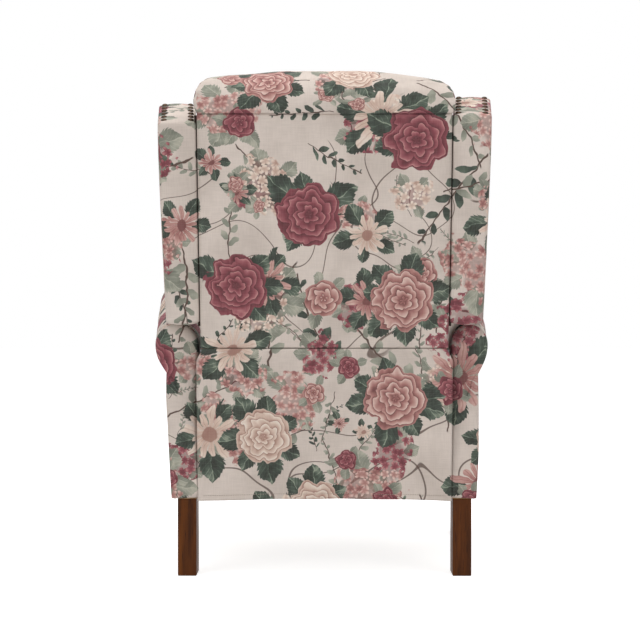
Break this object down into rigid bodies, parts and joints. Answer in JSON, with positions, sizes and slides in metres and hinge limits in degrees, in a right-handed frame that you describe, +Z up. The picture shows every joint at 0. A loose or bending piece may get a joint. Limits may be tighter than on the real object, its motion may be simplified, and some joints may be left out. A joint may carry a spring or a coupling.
{
  "type": "wing recliner",
  "caption": "Push-back wing recliner with rolled arms on plain straight legs; tipping the back slides the seat forward and swings up a footrest on scissor links.",
  "frame": {"origin": "floor under the middle of the chair's bounding box, with the back upright", "axes": "+Z up, the sitter faces -Y, +X to the sitter's left"},
  "size_m": [0.812, 0.8322, 1.0548],
  "materials": {
    "upholstery": "woven cotton with a scattered floral print",
    "leg_wood": "dark brown stain, satin",
    "frame_wood": "plain sawn hardwood",
    "plywood": "plain plywood",
    "mechanism_steel": "black zinc",
    "bright_steel": "plain steel",
    "glide_nylon": "nylon",
    "webbing": "jute webbing",
    "lining": "black lining cloth"
  },
  "bodies": {
    "frame": {"leg_front_left": "leg_wood", "leg_front_right": "leg_wood", "leg_rear_left": "leg_wood", "leg_rear_right": "leg_wood", "leg_bolts": "bright_steel", "side_panel_left": "plywood", "side_panel_right": "plywood", "arm_sills": "frame_wood", "rear_rail": "frame_wood", "front_stretcher": "frame_wood", "corner_blocks": "frame_wood", "arm_pad_left": "upholstery", "arm_pad_right": "upholstery", "arm_facing_left": "upholstery", "arm_facing_right": "upholstery", "arm_rear_facing_left": "upholstery", "arm_rear_facing_right": "upholstery", "glide_tracks": "mechanism_steel", "drive_guides": "mechanism_steel", "recline_bolts": "bright_steel", "rear_flap": "upholstery", "hook_strip": "lining"},
    "back": {"back_stiles": "frame_wood", "back_bottom_rail": "frame_wood", "back_middle_rail": "frame_wood", "back_top_rail": "frame_wood", "back_webbing": "webbing", "back_outer_panel": "upholstery", "back_cushion": "upholstery", "head_roll": "upholstery", "wing_pad_left": "upholstery", "wing_pad_right": "upholstery", "wing_plates": "plywood", "wing_rear_panel_left": "upholstery", "wing_rear_panel_right": "upholstery", "wing_blocks": "frame_wood", "back_brackets": "mechanism_steel", "drive_pins": "bright_steel"},
    "seat": {"seat_side_rails": "frame_wood", "seat_front_rail": "frame_wood", "seat_rear_rail": "frame_wood", "seat_springs": "bright_steel", "seat_deck": "lining", "seat_cushion": "upholstery", "seat_plates": "mechanism_steel", "glide_blocks": "glide_nylon", "seat_studs": "bright_steel"},
    "heel_linkage": {"heel_links": "mechanism_steel", "drive_rod": "bright_steel", "heel_link_pins": "bright_steel"},
    "slider_linkage": {"slider_links": "mechanism_steel", "slider_link_pins": "bright_steel"},
    "toe_linkage": {"toe_links": "mechanism_steel", "toe_pins": "bright_steel"},
    "cam_linkage": {"cam_links": "mechanism_steel", "cam_link_pins": "bright_steel"},
    "footrest": {"foot_brackets": "mechanism_steel", "footrest_board": "plywood", "footrest_pad": "upholstery"}
  },
  "joints": [
    {"name": "back_recline", "type": "hinge", "parent": "frame", "child": "back", "pos_m": [0, 0.237, 0.47], "axis": [-1, 0, 0], "range_deg": [0, 35], "deforming": ["rear_flap"]},
    {"name": "seat_glide", "type": "slide", "parent": "frame", "child": "seat", "axis": [0, -1, 0], "range_m": [0, 0.0391]},
    {"name": "heel_link_swing", "type": "hinge", "parent": "seat", "child": "heel_linkage", "pos_m": [0, -0.278, 0.2], "axis": [-1, 0, 0], "range_deg": [-70.05, 0]},
    {"name": "slider_link_swing", "type": "hinge", "parent": "heel_linkage", "child": "slider_linkage", "pos_m": [0, -0.2564, 0.29354], "axis": [-1, 0, 0], "range_deg": [0, 140.05]},
    {"name": "toe_link_swing", "type": "hinge", "parent": "heel_linkage", "child": "toe_linkage", "pos_m": [0, -0.23481, 0.38708], "axis": [-1, 0, 0], "range_deg": [0, 140.05]},
    {"name": "cam_link_swing", "type": "hinge", "parent": "slider_linkage", "child": "cam_linkage", "pos_m": [0, -0.29999, 0.208], "axis": [-1, 0, 0], "range_deg": [-140.05, 0]},
    {"name": "footrest_tilt", "type": "hinge", "parent": "toe_linkage", "child": "footrest", "pos_m": [0, -0.32198, 0.21601], "axis": [-1, 0, 0], "range_deg": [0, 20.05]}
  ],
  "couplings": [
    {"joint": "seat_glide", "follows": "back_recline", "m_per_rad": 0.063849},
    {"joint": "heel_link_swing", "follows": "back_recline", "ratio": -2},
    {"joint": "slider_link_swing", "follows": "back_recline", "ratio": 4},
    {"joint": "toe_link_swing", "follows": "back_recline", "ratio": 4},
    {"joint": "cam_link_swing", "follows": "back_recline", "ratio": -4},
    {"joint": "footrest_tilt", "follows": "back_recline", "ratio": 0.57143}
  ]
}
